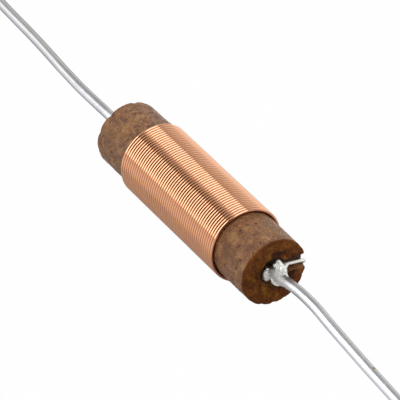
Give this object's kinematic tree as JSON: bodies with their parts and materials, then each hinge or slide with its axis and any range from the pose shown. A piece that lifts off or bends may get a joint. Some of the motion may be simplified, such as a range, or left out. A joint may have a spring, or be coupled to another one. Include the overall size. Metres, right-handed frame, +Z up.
{
  "type": "fixed inductor",
  "caption": "Axial fixed inductor: one layer of enamelled copper wire close-wound on a round powdered-iron rod, with a stiff tinned lead soldered in at each end.",
  "frame": {"origin": "middle of the rod core, on its axis", "axes": "+X along the rod towards the end that the picture shows, +Y away from the viewer, +Z up"},
  "size_m": [0.0982, 0.0074, 0.007],
  "materials": {
    "iron_powder": "matte pressed powder, dark brown, finely pitted",
    "magnet_wire": "clear enamel over bright copper",
    "tinned_wire": "bright tinned copper",
    "solder": "bright tin solder, slightly grainy"
  },
  "bodies": {
    "root": {"core": "iron_powder", "winding": "magnet_wire", "near_lead": "tinned_wire", "far_lead": "tinned_wire", "near_solder": "solder", "far_solder": "solder"}
  },
  "joints": []
}
